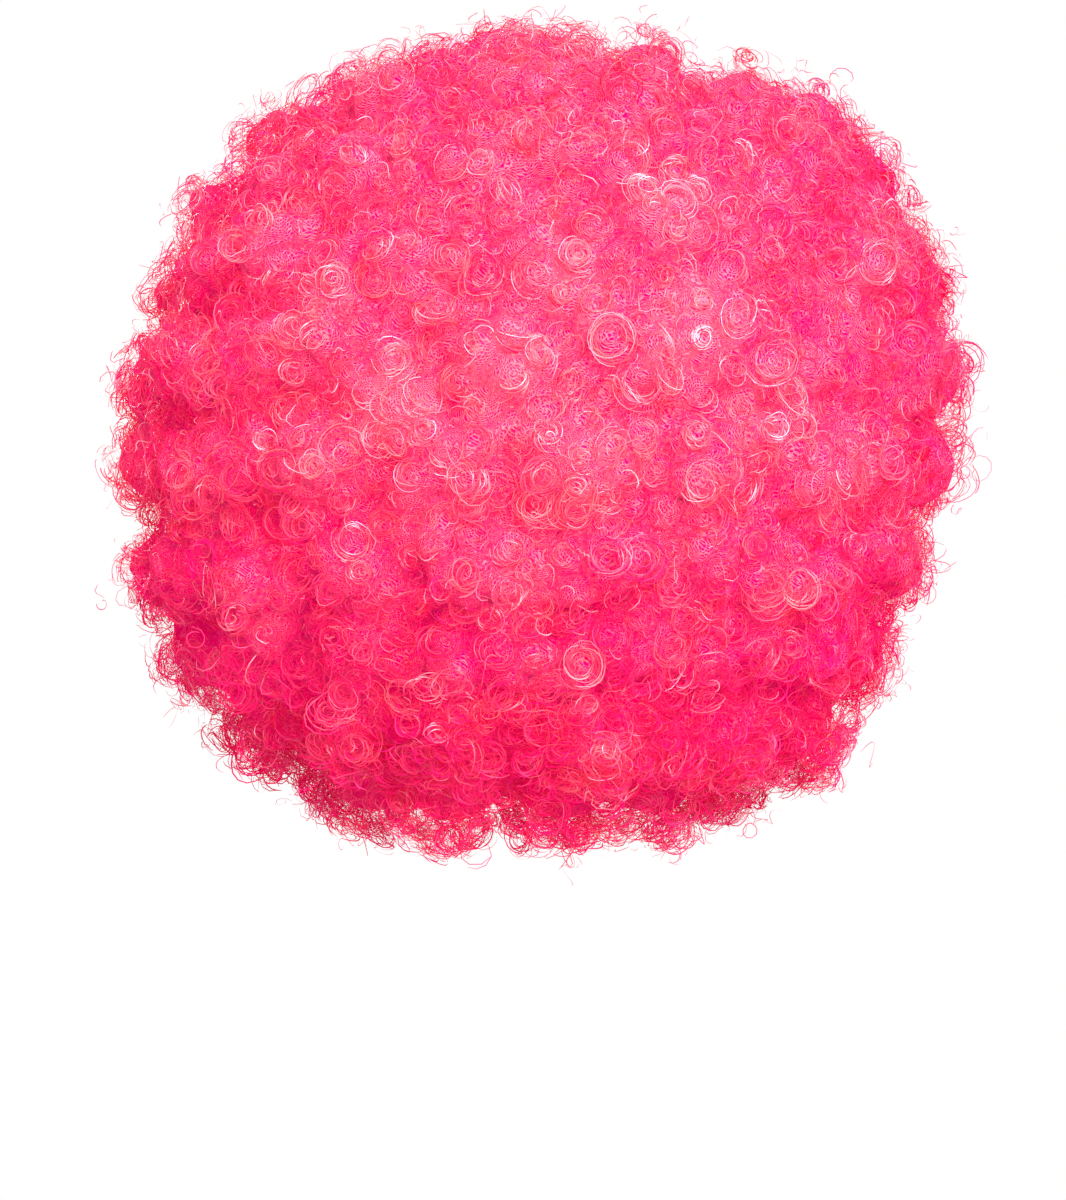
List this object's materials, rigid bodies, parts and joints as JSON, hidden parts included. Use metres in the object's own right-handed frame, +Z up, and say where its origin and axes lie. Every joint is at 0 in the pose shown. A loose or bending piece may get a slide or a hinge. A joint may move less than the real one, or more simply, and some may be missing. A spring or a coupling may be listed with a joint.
{
  "type": "afro wig",
  "caption": "Round afro wig: rows of tightly curled hair sewn round a stretch cap with an elastic hem, hollow for the head and open in front of the face.",
  "frame": {"origin": "inside the cap at its crown, where the top of the wearer's head meets it", "axes": "+Z up, +X towards the wearer's left, -Y the way that the wearer faces, through the face opening"},
  "size_m": [0.3692, 0.3604, 0.3469],
  "materials": {
    "hair": "curled glossy synthetic fibre",
    "cap_cloth": "matte stretch knit",
    "hem_elastic": "ribbed elastic"
  },
  "bodies": {
    "root": {"cap": "cap_cloth", "hem_band": "hem_elastic", "hair_crown": "hair", "hair_row_1": "hair", "hair_row_2": "hair", "hair_row_3": "hair", "hair_row_4": "hair", "hair_row_5": "hair", "hair_row_6": "hair", "hair_row_7": "hair", "hair_row_8": "hair", "hair_row_9": "hair", "hair_row_10": "hair", "hair_row_11": "hair"}
  },
  "joints": []
}
